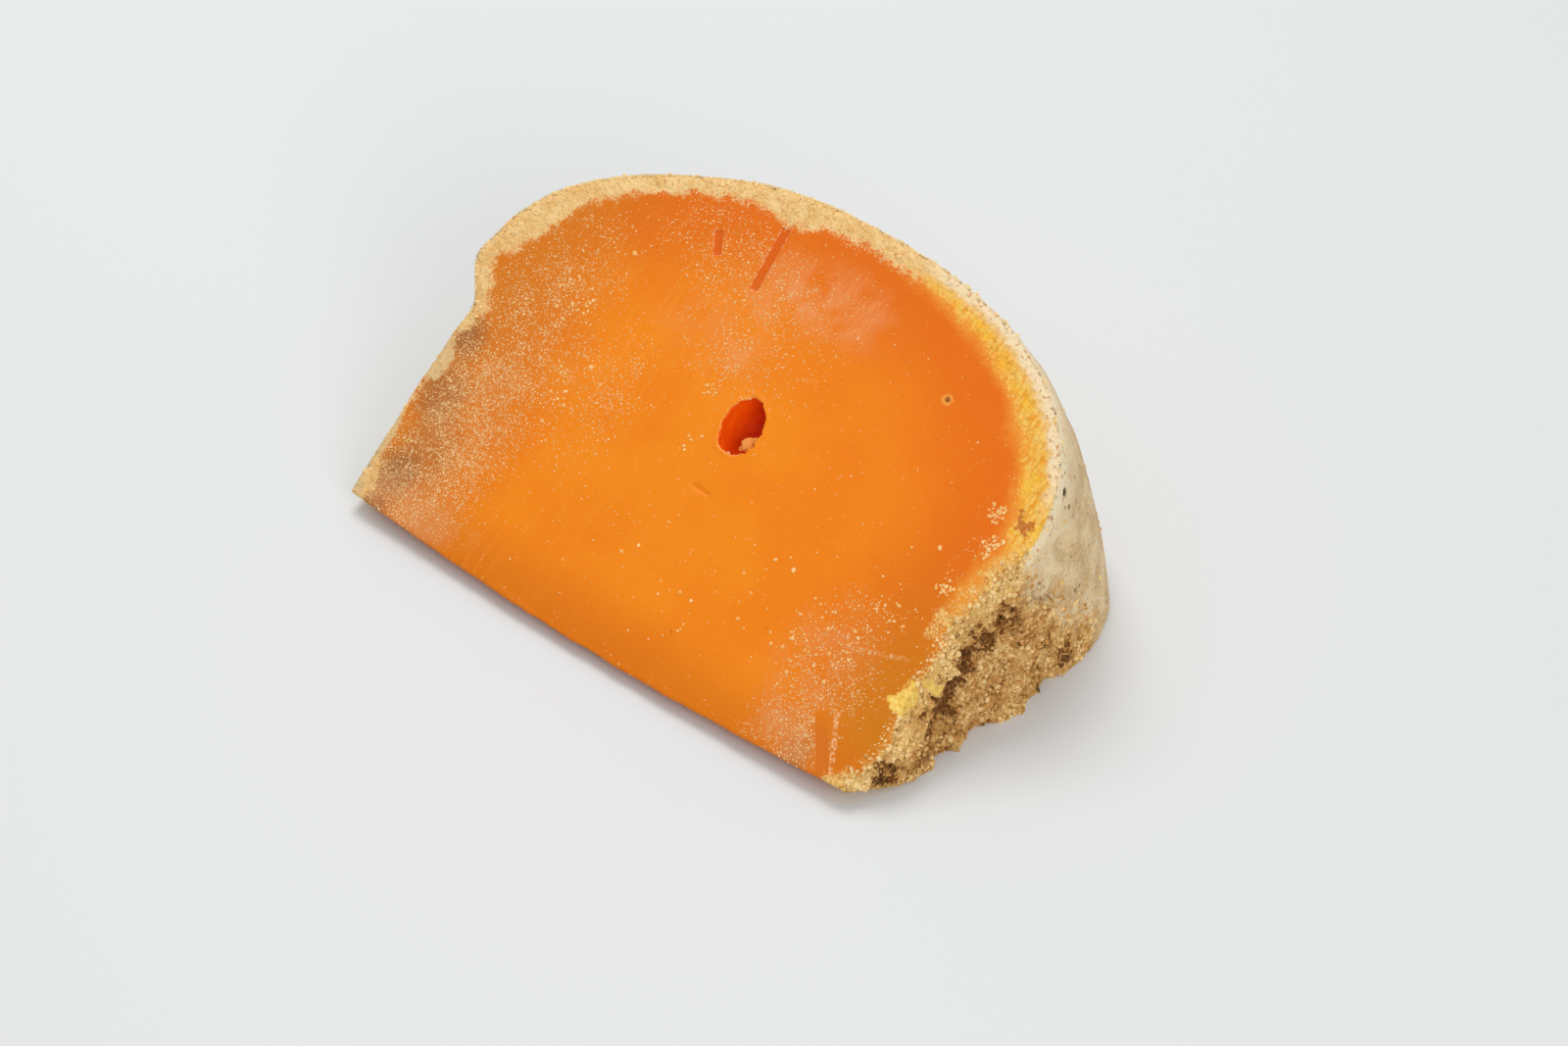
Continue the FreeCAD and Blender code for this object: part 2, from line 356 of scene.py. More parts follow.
def largest_flat(facing):
    """A point and the normal of the largest flat area that faces this way up or down."""
    areas = {}
    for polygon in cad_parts[NODE].data.polygons:
        if polygon.normal.z * facing > 0.5:
            key = tuple(round(v, 3) for v in polygon.normal)
            areas.setdefault(key, []).append(polygon)
    flat = max(areas.values(), key=lambda group: sum(polygon.area for polygon in group))
    return from_frame(flat[0].center), np.array(flat[0].normal)


CUT_POINT, CUT_NORMAL = largest_flat(facing=1)
UP_SLOPE = np.array((0.0, CUT_NORMAL[2], -CUT_NORMAL[1]))
CUT_FOOT = (CUT_POINT - UP_SLOPE * CUT_POINT[2] / UP_SLOPE[2]) * (0, 1, 1)   # where it meets the table


def on_the_cut(right, up):
    return CUT_FOOT + UP_SLOPE * up + (right, 0, 0)


def new_piece(name, mesh):
    piece = bpy.data.objects.new(name, mesh)
    bpy.context.scene.collection.objects.link(piece)
    return piece


def apply_modifier(piece, kind, **settings):
    """Replaces the piece's mesh with what one modifier makes of it."""
    modifier = piece.modifiers.new(kind, kind)
    for name, value in settings.items():
        setattr(modifier, name, value)
    evaluated = piece.evaluated_get(bpy.context.evaluated_depsgraph_get())
    mesh = bpy.data.meshes.new_from_object(evaluated)
    piece.modifiers.clear()
    piece.data = mesh


def read(collection, attribute):
    """Every item's vector, as one array."""
    values = np.zeros(len(collection) * 3, np.float32)
    collection.foreach_get(attribute, values)
    return values.reshape(-1, 3).astype(float)


def close_copy(name):
    """The wedge's solid as one even, closed mesh."""
    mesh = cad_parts[NODE].data.copy()
    welded = bmesh.new()
    welded.from_mesh(mesh)
    bmesh.ops.remove_doubles(welded, verts=welded.verts, dist=1e-6)
    welded.to_mesh(mesh)
    welded.free()
    mesh.materials.clear()
    piece = new_piece(name, mesh)
    apply_modifier(piece, "REMESH", mode="VOXEL", voxel_size=VOXEL * MM, use_smooth_shade=True)
    return piece


def tree_of(points):
    tree = KDTree(len(points))
    for index, point in enumerate(points):
        tree.insert(point, index)
    tree.balance()
    return tree


class Surface:
    """Where each place lies on the wedge, and which part it belongs to: the upper cut, the eye, the
    lower cut with the thin edge's underside, or the rind, which is broken in part."""

    def __init__(self, places, normals):
        self.places, self.normals = places, normals
        self.right, self.back, self.height = places.T
        self.up = (places - CUT_FOOT) @ UP_SLOPE
        self.depth = (CUT_POINT - places) @ CUT_NORMAL
        self.from_eye = np.hypot((self.right - EYE[0]) / EYE_HALF[0], (self.up - EYE[1]) / EYE_HALF[1])
        self.eye = (self.from_eye < EYE_REACH) & (self.depth > 0.05) & (self.depth < EYE_DEPTH)
        self.cut = (self.depth < 0.5) & (normals @ CUT_NORMAL > 0.5) & ~self.eye
        below = (normals[:, 2] < -0.75) & (self.height < 7) & ~self.eye
        lip = (normals[:, 1] < -0.5) & (np.abs(normals[:, 0]) < 0.45) & (self.back < 6)
        self.under = below | (lip & ~self.cut)
        self.rind = ~(self.cut | self.under | self.eye)
        self.from_rind = self.distance_from_rind()
        self.broken = self.find_broken()
        self.warped = places + only_at(self.right > STAINED_FROM, sideways, places).T

    def distance_from_rind(self, limit=50.0, every=6):
        """Millimetres from each place on the cuts to the nearest rind, of which one point in six will do."""
        rind = tree_of(self.places[self.rind][::every])
        paste = np.flatnonzero(~self.rind)
        distance = np.zeros(len(self.places))
        distance[paste] = [min(rind.find(place)[2], limit) for place in self.places[paste]]
        return distance

    def find_broken(self):
        """The crumbled stretch of rind at the front right corner and along the foot of that end. Its
        ragged border leans forward as it rises."""
        ragged = 4.5 * wavy(self.places, 14, 5) + 2.5 * wavy(self.places, 4, 6)
        line = self.back + 0.62 * self.height + ragged
        return smooth_step(90, 75, line) * smooth_step(58, 65, self.right)


def sideways(places):
    """Shifts that turn round spots into uneven ones."""
    return np.stack([3.0 * wavy(places, 5.0, seed) + 1.4 * wavy(places, 1.8, 10 * seed)
                     for seed in (15, 16, 17)])


# ---------------------------------------------------------------- relief, in millimetres

def crumbled(places):
    """Clumps of crumbs at three sizes, with small pits between them."""
    big, big_number = clumps(places, 6.0, 21)
    middle, middle_number = clumps(places, 2.3, 31)
    small, small_number = clumps(places, 1.05, 41)
    relief = 0.9 * (0.5 - big) + 0.7 * (big_number - 0.5)
    relief += 0.55 * (0.5 - middle) + 0.35 * (middle_number - 0.5)
    relief += 0.34 * (0.5 - small) + 0.26 * (small_number - 0.5)
    pit, pit_number = clumps(places, 1.7, 51)
    pits = smooth_step(0.40, 0.12, pit) * (pit_number > 0.4)
    return relief - 0.8 * pits, pits


def pinholed(places):
    pin, number = clumps(places, 2.8, 61)
    return smooth_step(0.24, 0.08, pin) * (number > 0.6)


def porous(places):
    """The dry rim's crumbs, and the bumps along its outer edge."""
    small, small_number = clumps(places, 1.1, 71)
    middle, middle_number = clumps(places, 2.8, 72)
    return (0.30 * (0.5 - small) + 0.24 * (small_number - 0.6) + 0.25 * (middle_number - 0.5),
            0.8 * (0.45 - middle))


def rind_relief(surface):
    """The sound rind's gentle waves and rare pinholes, and the broken rind's crumbs and notches."""
    places, broken = surface.places, surface.broken
    broad = 0.30 * wavy(places, 12, 11) + 0.16 * wavy(places, 4.5, 12)
    rough, rough_pits = only_at(surface.rind & (broken > 0), crumbled, places)
    pinholes, = only_at(surface.rind & (broken < 1), pinholed, places)
    sound = 0.09 * wavy(places, 1.3, 13) - 0.5 * pinholes
    holes = spots(places, HOLES)
    rounded = 1.6 * broken * smooth_step(3.5, 0.0, surface.depth)
    relief = broad + broken * rough + (1 - broken) * sound - holes - rounded
    pits = np.maximum(broken * rough_pits, (1 - broken) * pinholes)
    pits = np.maximum(pits, np.clip(holes / 1.5, 0, 1))
    relief += 0.9 * spots(surface.warped, STRAW)
    relief -= broken * np.clip(spots(surface.warped, STAINS), 0, 1) * (0.7 + 1.1 * wavy(places, 2.6, 14))
    return relief * surface.rind, pits * surface.rind


def rim_relief(surface, width):
    """The dry, porous band of the cut next to the rind, and its rounded, scalloped edge."""
    band = smooth_step(width + 1.2, width - 1.5, surface.from_rind) * surface.cut
    crumbs, bumps = only_at(band > 0, porous, surface.places)
    rough, rough_pits = only_at((band > 0) & (surface.broken > 0), crumbled, surface.places)
    near_edge = smooth_step(2.4, 0.0, surface.from_rind)
    rounded = 0.35 * near_edge + 1.6 * surface.broken * smooth_step(4.5, 0.0, surface.from_rind)
    relief = crumbs + near_edge * bumps + 0.7 * surface.broken * rough - rounded
    relief += 0.9 * spots(surface.warped, STRAW)
    return band * relief, band * surface.broken * rough_pits


def stroke_share(right, up, start, end, half_width):
    """1 along a straight stroke on the cut, falling to 0 at its half width."""
    along = np.subtract(end, start)
    away = np.stack([right - start[0], up - start[1]], axis=1)
    run = np.clip(away @ along / (along @ along), 0, 1)
    beside = np.linalg.norm(away - run[:, None] * along, axis=1)
    return smooth_step(half_width, 0.55 * half_width, beside)


def cut_relief(surface):
    """The paste's smooth cut: slight waves, knife marks, a small pit, a scar and the eye's lip."""
    waves = 0.10 * wavy(surface.places, 17, 91) + 0.035 * wavy(surface.places, 3.5, 92)
    marks = sum(0.32 * stroke_share(surface.right, surface.up, *mark) for mark in KNIFE_MARKS)
    from_pit = np.hypot(surface.right - SMALL_PIT[0], surface.up - SMALL_PIT[1])
    pit = 0.6 * smooth_step(PIT_RADIUS, PIT_RADIUS / 3, from_pit)
    scar = 0.3 * stroke_share(surface.right, surface.up, *SCAR)
    lip = 0.22 * smooth_step(1.25, 1.02, surface.from_eye)
    return (waves - marks - pit - scar + lip) * surface.cut


def edge_relief(surface):
    """Small nicks along the thin edge at the front."""
    near = smooth_step(3.0, 0.6, surface.back)
    return near * (0.22 * wavy(surface.places, 5, 96) + 0.12 * wavy(surface.places, 1.6, 97) - 0.1)


def nibbled(surface):
    """Sideways shifts that make the eye's outline uneven."""
    near = smooth_step(0.35, 0.1, np.abs(surface.from_eye - 1)) * smooth_step(3.0, 0.5, surface.depth)
    outward = surface.places - on_the_cut(*EYE)
    outward -= (outward @ CUT_NORMAL)[:, None] * CUT_NORMAL
    outward /= np.linalg.norm(outward, axis=1)[:, None] + 1e-9
    shift = near * (0.42 * wavy(surface.places, 2.2, 98) + 0.30 * wavy(surface.places, 0.9, 99))
    return outward * shift[:, None]


def rim_width(surface):
    """How wide the dry rim is near each place. It is about the usual width under the wedge."""
    width = RIM_WIDTH + patchwork(surface.right, surface.up, RIM_SWELLS) * ~surface.under
    uneven = 1.0 * wavy(surface.places, 7, 75) + 0.7 * wavy(surface.places, 2.4, 76)
    return np.maximum(width, 0.6) + uneven


def cheese_wedge():
    """The whole wedge, with its relief, as one mesh that knows what it is made of where."""
    piece = close_copy("cheese_wedge")
    mesh = piece.data
    surface = Surface(from_frame(read(mesh.vertices, "co")), read(mesh.vertex_normals, "vector"))
    width = rim_width(surface)
    from_rind, pits = rind_relief(surface)
    from_rim, rim_pits = rim_relief(surface, width)
    in_eye = 0.3 * wavy(surface.places, 2.0, 95) * surface.eye
    relief = from_rind + from_rim + cut_relief(surface) + edge_relief(surface) + in_eye
    shaped = to_frame(surface.places + surface.normals * relief[:, None] + nibbled(surface))
    shaped[:, 2] = np.maximum(shaped[:, 2], 0)
    mesh.vertices.foreach_set("co", shaped.astype(np.float32).ravel())
    mesh.update()
    share = MOST_TRIANGLES / (2 * len(mesh.polygons))
    apply_modifier(piece, "DECIMATE", ratio=min(1.0, share), use_collapse_triangulate=True)
    lies_on_top = ~surface.under
    on_cut = {name: patchwork(surface.right, surface.up, patches) * lies_on_top for name, patches in (
        ("dust", DUSTY), ("haze_and_sheen", HAZE_AND_SHEEN), ("brown", BROWNED), ("beige", BEIGE), ("golden", GOLDEN))}
    on_any = {name: spots(surface.warped, centres) for name, centres in (
        ("stain", STAINS), ("red", RED_SPOTS), ("straw", STRAW))}
    keep_measures(piece.data, shaped, {
        "rind": surface.rind, "broken": surface.broken, "inward": surface.from_rind, "rim_width": width,
        "eye": surface.eye, "pits": np.maximum(pits, rim_pits), "relief": relief,
        "under": surface.under, **on_cut, **on_any})
    surface.places = from_frame(shaped)      # so that grains sit on the finished relief
    return piece, surface


def keep_measures(mesh, places, measures):
    """Carries what was measured on the fine mesh over to the piece's own vertices."""
    tree = tree_of(places)
    nearest = np.array([tree.find(vertex.co)[1] for vertex in mesh.vertices])
    for name, values in measures.items():
        layer = mesh.attributes.new(name, "FLOAT", "POINT")
        layer.data.foreach_set("value", values[nearest].astype(np.float32))


# ---------------------------------------------------------------- loose grains that cling to the wedge

def lump_shape(subdivisions):
    """A small round mesh's points and triangles, to be made uneven."""
    shape = bmesh.new()
    bmesh.ops.create_icosphere(shape, subdivisions=subdivisions, radius=1.0)
    points = np.array([vertex.co for vertex in shape.verts])
    triangles = np.array([[vertex.index for vertex in face.verts] for face in shape.faces])
    shape.free()
    return points, triangles


def scattered_lumps(name, places, normals, widths, flatness, subdivisions, tints, seed):
    """One mesh of uneven lumps, each sitting a little into the surface at its place."""
    draw = np.random.default_rng(seed)
    points, triangles = lump_shape(subdivisions)
    count = len(places)
    turns = np.linalg.qr(draw.normal(size=(count, 3, 3)))[0]
    stretch = draw.uniform(0.65, 1.25, (count, 1, 3))
    uneven = draw.uniform(0.75, 1.2, (count, len(points), 1))
    lumps = (points[None] * stretch * uneven) @ turns
    height = np.einsum("cpk,ck->cp", lumps, normals)
    lumps -= (1 - flatness) * height[:, :, None] * normals[:, None, :]
    lumps = to_frame(lumps * (widths / 2)[:, None, None] + places[:, None])
    lumps[:, :, 2] = np.maximum(lumps[:, :, 2], 0)
    corners = triangles[None] + (np.arange(count) * len(points))[:, None, None]
    mesh = bpy.data.meshes.new(name)
    mesh.from_pydata(lumps.reshape(-1, 3), [], corners.reshape(-1, 3))
    mesh.update()
    layer = mesh.attributes.new("tint", "FLOAT", "POINT")
    tints = np.clip(tints + draw.uniform(-0.3, 0.3, count), 0, 1)
    layer.data.foreach_set("value", np.repeat(tints, len(points)).astype(np.float32))
    return new_piece(name, mesh)


def chosen(likelihood, count, seed):
    """Places on the surface, drawn by how likely each is to hold a grain."""
    draw = np.random.default_rng(seed)
    return draw.choice(len(likelihood), count, replace=False, p=likelihood / likelihood.sum())


def grain_widths(spread, count, seed):
    """Most grains are near the least width. The higher the rarity, the fewer are large."""
    least, added, rarity = spread
    return least + added * np.random.default_rng(seed).random(count) ** rarity


def dust_grains(surface):
    """Fine pale grains on the dusty parts of the upper cut."""
    dust = patchwork(surface.right, surface.up, DUSTY)
    patchy = np.clip(0.5 + 0.9 * wavy(surface.places, 5, 101) + 0.6 * wavy(surface.places, 1.8, 102), 0, 2)
    marks = sum(stroke_share(surface.right, surface.up, *mark) for mark in (*KNIFE_MARKS, CLEAN_STRIP))
    on_paste = surface.cut * (surface.from_rind > 1.5) * (marks < 0.1)
    likelihood = (0.006 + np.clip(dust, 0, 1) ** 1.2 * patchy) * on_paste
    picked = chosen(likelihood, DUST_COUNT, 103)
    widths = grain_widths(DUST_WIDTHS, DUST_COUNT, 104)
    tints = np.full(DUST_COUNT, 0.5)
    return scattered_lumps("dust_grains", surface.places[picked], surface.normals[picked], widths,
                           0.7, 1, tints, 105)


def pale_flakes(surface):
    """Larger pale flakes: clusters by the golden rim, a few on the open cut, and the eye's crumbs."""
    likelihood = (0.008 + patchwork(surface.right, surface.up, FLAKY)) * surface.cut
    picked = chosen(likelihood * (surface.from_rind > 7) * (surface.up < 96), FLAKE_COUNT, 113)
    widths = grain_widths(FLAKE_WIDTHS, FLAKE_COUNT, 114)
    in_eye = [on_the_cut(right, up) - CUT_NORMAL * depth for right, up, depth, width in EYE_CRUMBS]
    places = np.concatenate([surface.places[picked], in_eye])
    normals = np.concatenate([surface.normals[picked], [CUT_NORMAL] * len(in_eye)])
    widths = np.concatenate([widths, [crumb[3] for crumb in EYE_CRUMBS]])
    tints = np.where(np.arange(len(places)) < FLAKE_COUNT, 0.55, -0.3)
    return scattered_lumps("pale_flakes", places, normals, widths, 0.45, 2, tints, 115)


def rind_crumbs(surface):
    """Crumbs all over the broken rind and its edge, along the rim's edges and in the eye."""
    stain = np.clip(spots(surface.warped, STAINS), 0, 1)
    edge = surface.cut * smooth_step(4.5, 0.5, surface.from_rind) * surface.broken * 0.6
    golden = patchwork(surface.right, surface.up, GOLDEN) > 0.3
    rim = surface.cut * smooth_step(1.3, 0.2, surface.from_rind) * np.where(golden, 0.04, 0.3)
    band = surface.cut * smooth_step(6, 3, surface.from_rind) * (surface.up > 60) * ~golden * 0.06
    eye = surface.eye * (surface.up < EYE[1] - 1) * (surface.right > EYE[0]) * 0.2
    top = surface.rind * smooth_step(4, 1, surface.depth) * 0.12
    ends = surface.rind * 0.004
    broken = surface.broken * surface.rind * (1.1 - 0.75 * stain)
    likelihood = (broken + rim + edge + band + eye + top + ends) * (spots(surface.warped, STRAW) < 0.4)
    picked = chosen(likelihood, CRUMB_COUNT, 123)
    widths = grain_widths(CRUMB_WIDTHS, CRUMB_COUNT, 124)
    places = surface.places[picked]
    tints = 0.5 + 0.35 * wavy(places, 5, 126) + 0.3 * wavy(places, 1.8, 127) - 0.7 * stain[picked]
    tints += 0.4 * smooth_step(9, 2, surface.depth[picked]) + 0.35 * (1 - surface.broken[picked])
    return scattered_lumps("rind_crumbs", places, surface.normals[picked], widths, 0.85, 1, tints, 125)


# ---------------------------------------------------------------- finishes

def stroke_on(right, up, start, end, half_width):
    """1 along a straight stroke on the cut, falling to 0 at its half width."""
    length = math.dist(start, end)
    way = ((end[0] - start[0]) / length, (end[1] - start[1]) / length)
    from_start = (right - start[0], up - start[1])
    run = from_start[0] * way[0] + from_start[1] * way[1]
    beyond = (0 - run).at_least(run - length).at_least(0)
    beside = (from_start[0] * way[1] - from_start[1] * way[0]).unsigned()
    return beside.at_least(beyond).rise(half_width, 0.7 * half_width)


def paste_colour(finish, right, up):
    """The orange inside: lighter in the middle, deeper towards the rind and the thin edge."""
    inward = finish.measured("inward")
    cloudy = finish.noise(24, 3)
    low_right = right.rise(48, 76) * up.rise(78, 34)
    deep = finish.mix(low_right, srgb(223, 106, 4), srgb(207, 119, 10))
    open_paste = finish.mix(cloudy.rise(0.35, 0.65), srgb(238, 128, 6), srgb(241, 136, 12))
    paste = finish.mix((inward + (cloudy - 0.5) * 12).rise(5, 44), deep, open_paste)
    paste = finish.mix(right.rise(6, 52) * up.rise(56, 88) * 0.4, paste, srgb(232, 108, 4))
    paste = finish.mix(up.rise(26, 9) * 0.8, paste, srgb(216, 112, 4))
    drawn_out = finish.node("ShaderNodeCombineXYZ", {}, {0: right, 1: up * 0.06})
    strokes = finish.noise(1.2, 3, at=drawn_out).rise(0.5, 0.72) * right.rise(12, -30)
    paste = finish.mix(strokes * 0.16, paste, srgb(248, 158, 52))
    paste = finish.mix(right.rise(-38, -76) * 0.7, paste, srgb(206, 120, 22))
    return finish.mix(finish.measured("brown").at_most(1) * 0.85, paste, srgb(146, 92, 52))


def bloom_and_sheen_on(finish, colour, right, up):
    """Pinkish haze, partly real bloom and partly a painted sheen near the top of the cut, granular dust and
    single specks over the paste.
    """
    haze_and_sheen, dust = finish.measured("haze_and_sheen"), finish.measured("dust")
    marks = stroke_on(right, up, *KNIFE_MARKS[0]).at_least(stroke_on(right, up, *KNIFE_MARKS[1]))
    strip = stroke_on(right, up, *CLEAN_STRIP)
    covered = 1 - marks.at_least(strip)
    streaked = finish.vector("MULTIPLY", finish.place, (1.0, 0.16, 0.16))
    wisps = finish.noise(0.7, 3, at=streaked).rise(0.25, 0.7) * 0.6 + 0.4
    wisps = finish.noise(7, 4).rise(0.3, 0.62) * wisps
    colour = finish.mix(strip * up.rise(23, 17) * 0.4, colour, srgb(204, 104, 34))
    colour = finish.mix(marks * 0.85, colour, srgb(216, 92, 4))
    low_haze_and_sheen = finish.mix(up.rise(60, 90), srgb(226, 150, 96), srgb(236, 150, 92))
    # Haze: real bloom, and on the upper patches a painted sheen.
    colour = finish.mix(haze_and_sheen * wisps * covered * 0.66, colour, low_haze_and_sheen)
    uneven = 0.55 + finish.noise(4.5, 3)
    share = (dust * 0.75 + haze_and_sheen * 0.16) * uneven + 0.006
    fine = finish.specks(0.55, share, 0.5)
    coarse = finish.specks(1.0, share * 0.55, 0.36)
    grains = fine.at_least(coarse) * covered
    dusty = finish.mix(finish.noise(1.4, 2).rise(0.35, 0.65), srgb(238, 172, 92), srgb(252, 214, 156))
    colour = finish.mix(dust.at_most(1) * covered * 0.10, colour, srgb(226, 156, 84))
    colour = finish.mix(grains * 0.72, colour, dusty)
    lines = stroke_on(right, up, *PALE_LINES[0]).at_least(stroke_on(right, up, *PALE_LINES[1]) * 0.4)
    lines = lines * finish.noise(0.8, 2).rise(0.4, 0.6)
    edges = (marks * (1 - marks)) * 4 * finish.noise(0.8, 2).rise(0.4, 0.6)
    colour = finish.mix((lines * 0.7).at_least(edges * 0.7), colour, srgb(246, 190, 134))
    return colour, grains


def rim_colour(finish, up):
    """The dry rim: cream at the top, golden streaks at the right, crumbs by the broken rind."""
    golden = finish.measured("golden").at_most(1)
    inward = finish.measured("inward")
    fine = finish.noise(0.7, 3).rise(0.36, 0.62)
    coarse = finish.noise(3.5, 4).rise(0.35, 0.65)
    cream = finish.mix(coarse, srgb(232, 180, 104), srgb(244, 204, 138))
    cream = finish.mix(fine * 0.4, cream, srgb(250, 216, 158))
    cream = finish.mix(finish.specks(0.8, 0.35, 0.4) * 0.6, cream, srgb(200, 126, 54))
    along_rim = finish.vector("MULTIPLY", finish.place, (1.0, 0.3, 0.3))
    streaks = finish.noise(0.9, 3, at=along_rim).rise(0.36, 0.6)
    gold = finish.mix(streaks, srgb(238, 160, 44), srgb(248, 200, 100))
    gold = finish.mix(finish.noise(5, 2).rise(0.45, 0.65) * 0.7, gold, srgb(252, 192, 58))
    gold = finish.mix(inward.rise(4.6, 2.4) * up.rise(92, 104) * 0.8, gold, cream)
    outer = inward.rise(2.4, 1.2) * finish.noise(3, 2).rise(0.35, 0.55) * up.rise(104, 92)
    gold = finish.mix(outer * 0.5, gold, srgb(252, 204, 80))
    crust = (inward + finish.wobble(2.5, 3, 5)).rise(3.6, 1.8) * up.rise(86, 98)
    gold = finish.mix(crust * 0.8, gold, srgb(248, 228, 190))
    gold = finish.mix(crust * finish.noise(1.2, 3).rise(0.56, 0.66) * 0.7, gold, srgb(204, 132, 66))
    crumbs = finish.mix(fine, srgb(228, 168, 84), srgb(246, 206, 126))
    crumbs = finish.mix(finish.noise(0.9, 3).rise(0.58, 0.66) * 0.6, crumbs, srgb(190, 100, 40))
    rim = finish.mix(golden, cream, gold)
    return finish.mix(finish.measured("broken"), rim, crumbs)


def rind_colour(finish):
    """Outside: warm beige where sound, sandy crumbs where broken, with painted shade in the gaps between
    crumbs, in the hollows and in the pits.
    """
    broken, pits = finish.measured("broken"), finish.measured("pits")
    depth = finish.along(-CUT_NORMAL, CUT_POINT)
    sound = finish.mix(finish.noise(7, 5).rise(0.35, 0.65), srgb(206, 172, 124), srgb(232, 205, 160))
    sound = finish.mix(finish.noise(1.1, 3).rise(0.5, 0.7) * 0.5, sound, srgb(240, 220, 190))
    sound = finish.mix(finish.specks(1.0, 0.4, 0.36) * 0.55, sound, srgb(156, 108, 64))
    upper = (depth + finish.wobble(6, 4, 14)).rise(19, 6)
    sound = finish.mix(upper * 0.6, sound, srgb(238, 214, 174))
    near_cut = (depth + finish.wobble(3, 3, 4)).rise(6.5, 2)
    sound = finish.mix(near_cut * 0.8, sound, srgb(248, 230, 192))
    flecks = finish.noise(1.3, 3).rise(0.58, 0.66) * (depth + finish.wobble(5, 2, 8)).rise(8, 2)
    sound = finish.mix(flecks * 0.7, sound, srgb(200, 120, 56))
    sandy = finish.mix(finish.noise(2.2, 4).rise(0.38, 0.62), srgb(190, 136, 68), srgb(228, 184, 116))
    # Painted shade: the broken rind darkens where its relief sinks into hollows.
    sandy = finish.mix(finish.measured("relief").rise(0.2, -1.6) * 0.6, sandy, srgb(146, 92, 38))
    stain = (finish.measured("stain") + finish.wobble(1.6, 4, 2.2)).rise(0.35, 0.75)
    crown = (depth + finish.wobble(3, 3, 6)).rise(8.5, 3.5) * (1 - stain)
    sandy = finish.mix(crown * 0.75, sandy, srgb(244, 200, 120))
    sandy = finish.mix(stain * 0.7, sandy, srgb(118, 68, 24))
    # Painted shade: dark gaps between the crumbs, denser in the stains.
    gaps = (finish.noise(0.8, 3) + stain * 0.12).rise(0.58, 0.66)
    sandy = finish.mix(gaps * 0.8, sandy, srgb(84, 46, 16))
    outside = finish.mix((broken + finish.wobble(2, 3, 0.9)).rise(0.3, 0.9), sound, sandy)
    # Painted shade in the pits and holes, over the rind's own colour.
    dark = pits * (stain * 0.6 + 0.25).at_least((1 - broken) * 0.85)
    for centre, radius, amount in DARK_PITS:
        dark = dark.at_least(finish.near(centre, radius) * amount)
    return finish.mix(dark, outside, srgb(62, 34, 12))


def pit_colour_and_shade(finish, cut):
    """The small pit: painted shade darkens its inside, with a faint pale smear around it."""
    pit = on_the_cut(*SMALL_PIT)
    smear = (finish.near(pit, 2.4) + finish.wobble(0.9, 3, 1.4)).rise(0.4, 1.1)
    cut = finish.mix(smear * 0.5, cut, srgb(250, 180, 84))
    # Painted shade inside the small pit.
    return finish.mix(finish.near(pit, PIT_RADIUS), cut, srgb(110, 50, 10))


def eye_colour_with_painted_light(finish, cut, right):
    """The gas hole: bright orange at its left, where light is painted in, deep red at its right, where shade
    is painted in, with a pale lip painted as a highlight on its edge.
    """
    eye = finish.measured("eye")
    # Painted light on the eye's left wall, painted shade towards its right.
    inside = finish.mix(right.rise(EYE[0] - 5, EYE[0] + 2), srgb(255, 98, 2), srgb(212, 38, 0))
    # The pale lip is a painted highlight along the eye's edge.
    return finish.mix(eye * (1 - eye) * 2.8, finish.mix(eye, cut, inside), srgb(255, 180, 96))


def cut_colour(finish):
    """The cuts' colour, how dry they are next to the rind, and where grains lie on them."""
    right = finish.along((1, 0, 0))
    up = finish.along(UP_SLOPE, CUT_FOOT)
    from_rim = finish.measured("inward") - finish.measured("rim_width")
    cut, grains = bloom_and_sheen_on(finish, paste_colour(finish, right, up), right, up)
    cut = pit_colour_and_shade(finish, cut)
    ragged = finish.wobble(3.0, 3, 5.0) + finish.wobble(0.6, 2, 6.0)
    soft = (from_rim + ragged * 0.6).rise(5.0, 0.0) * finish.measured("golden").at_most(1)
    cut = finish.mix(soft * 0.6, cut, srgb(242, 168, 60))
    dry = (from_rim + ragged).rise(1.5, -1.2)
    cut = finish.mix(dry, cut, rim_colour(finish, up))
    beige = (finish.measured("beige") + finish.wobble(2.2, 3, 1.1)).rise(0.35, 0.7)
    beige_skin = finish.mix(finish.specks(0.9, 0.4, 0.4) * 0.6, srgb(222, 188, 132), srgb(160, 112, 66))
    cut = finish.mix(beige * 0.9, cut, beige_skin)
    return eye_colour_with_painted_light(finish, cut, right), dry, grains


def spotted(finish, colour):
    """Adds the red spots and the straw-coloured chunk by the broken rind."""
    red = (finish.measured("red") + finish.wobble(1.0, 4, 3.0)).rise(0.55, 0.9)
    colour = finish.mix(red * 0.75, colour, srgb(186, 88, 34))
    straw = (finish.measured("straw") + finish.wobble(1.2, 3, 1.2)).rise(0.2, 0.7)
    straw_skin = finish.mix(finish.noise(0.8, 2).rise(0.35, 0.65), srgb(240, 190, 78), srgb(252, 220, 120))
    return finish.mix(straw * 0.9, colour, straw_skin)


def cheese_finish():
    """Orange paste on the cuts and pale rind around them, in one material."""
    finish = Finish("mimolette", Subsurface_Weight=0.10, Subsurface_Scale=0.003, Specular_IOR_Level=0.18,
                    Subsurface_Radius=(1.0, 0.35, 0.10))
    rind = finish.measured("rind")
    cut, dry, grains = cut_colour(finish)
    colour = spotted(finish, finish.mix(rind, cut, rind_colour(finish)))
    rough_share = rind.at_least(dry)
    fine = finish.wobble(0.5, 3, 0.10 + 0.9 * rough_share) + grains * 0.25
    fine = fine + finish.wobble(1.7, 3, rough_share * 1.8)
    normal = finish.bump(fine, 0.4)
    return finish.wear(Base_Color=colour, Roughness=0.5 + 0.35 * rough_share.at_least(grains), Normal=normal)


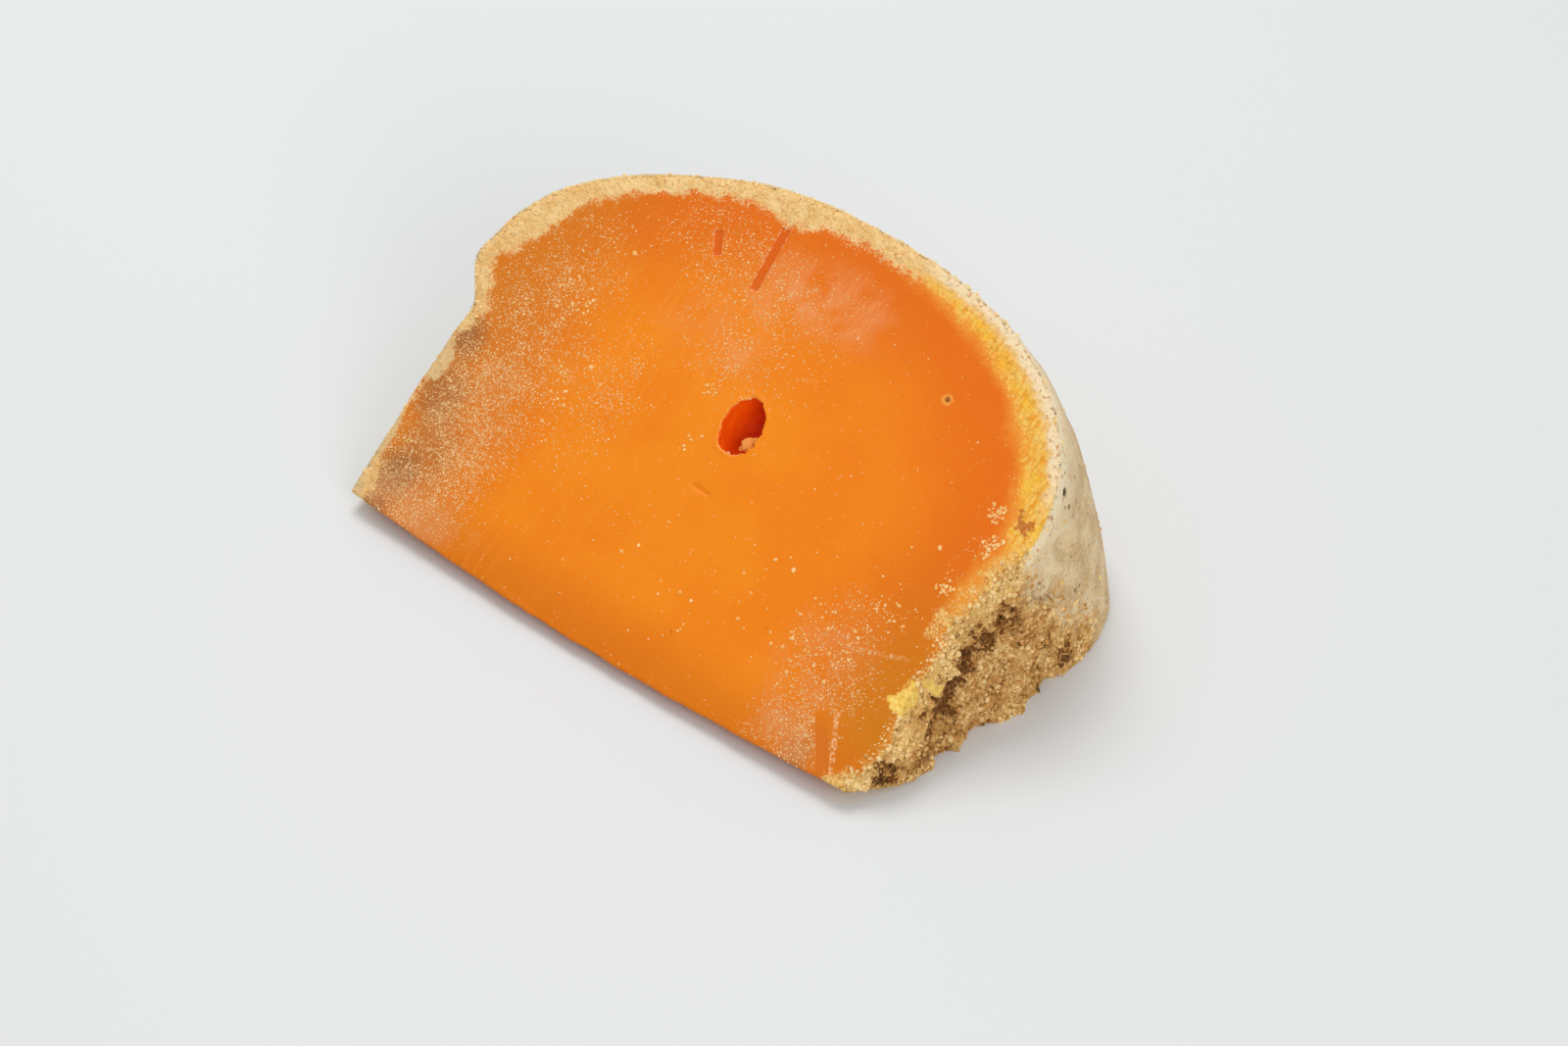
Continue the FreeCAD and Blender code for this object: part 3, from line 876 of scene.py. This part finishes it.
def grain_finish(name, dark, usual, light):
    """Loose grains: each its own shade, a little uneven."""
    finish = Finish(name, Roughness=0.8, Specular_IOR_Level=0.2, Subsurface_Weight=0.1,
                    Subsurface_Scale=0.001)
    shade = finish.measured("tint") * 0.85 + finish.noise(0.4, 2) * 0.3
    colour = finish.mix(shade.rise(0.1, 0.5), srgb(*dark), srgb(*usual))
    colour = finish.mix(shade.rise(0.45, 1.0), colour, srgb(*light))
    return finish.wear(Base_Color=colour, Normal=finish.bump(finish.noise(0.2, 2), 0.05))


def table_finish():
    finish = Finish("pale_table", Roughness=0.6)
    shade = finish.mix(finish.noise(400, 1), srgb(219, 220, 220), srgb(223, 224, 223))
    return finish.wear(Base_Color=shade)


# ---------------------------------------------------------------- scene

def table():
    mesh = bpy.data.meshes.new("table")
    corners = [(x * TABLE_HALF, y * TABLE_HALF, 0) for x, y in ((-1, -1), (1, -1), (1, 1), (-1, 1))]
    mesh.from_pydata(corners, [], [(0, 1, 2, 3)])
    mesh.materials.append(table_finish())
    new_piece("table", mesh)


def camera():
    level = math.cos(CAMERA_ELEVATION)
    back = Vector((math.sin(CAMERA_AZIMUTH) * level, -math.cos(CAMERA_AZIMUTH) * level,
                   math.sin(CAMERA_ELEVATION)))
    data = bpy.data.cameras.new("camera")
    data.lens, data.sensor_width = CAMERA_LENS, CAMERA_SENSOR
    place = to_frame(np.array(CAMERA_AIM) + np.array(back) * CAMERA_DISTANCE)
    turn = back.to_track_quat("Z", "Y").to_matrix() @ Matrix.Rotation(CAMERA_ROLL, 3, "Z")
    piece = bpy.data.objects.new("camera", data)
    piece.matrix_world = Matrix.Translation(Vector(place)) @ turn.to_4x4()
    bpy.context.scene.collection.objects.link(piece)
    bpy.context.scene.camera = piece


def lamp(name, width, power, place):
    data = bpy.data.lights.new(name, "AREA")
    data.size, data.energy = width, power
    piece = bpy.data.objects.new(name, data)
    piece.location = place
    piece.rotation_euler = (Vector(place) - Vector(LAMP_AIM)).to_track_quat("Z", "Y").to_euler()
    bpy.context.scene.collection.objects.link(piece)


def light():
    world = bpy.data.worlds.new("studio")
    world.use_nodes = True
    background = world.node_tree.nodes["Background"]
    background.inputs["Color"].default_value = (*srgb(232, 234, 236), 1)
    background.inputs["Strength"].default_value = SKY_STRENGTH
    bpy.context.scene.world = world
    for settings in LAMPS:
        lamp(*settings)


def dress(piece, material):
    """Gives a piece its finish and its place in the frame."""
    piece.data.materials.append(material)
    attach(piece, "root")


def main():
    bpy.context.scene.view_settings.view_transform = "Standard"
    camera()
    table()
    light()
    wedge, surface = cheese_wedge()
    dress(wedge, cheese_finish())
    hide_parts(NODE)
    dress(dust_grains(surface), grain_finish("dust", *DUST_SHADES))
    dress(pale_flakes(surface), grain_finish("flake", *FLAKE_SHADES))
    dress(rind_crumbs(surface), grain_finish("crumb", *CRUMB_SHADES))


main()
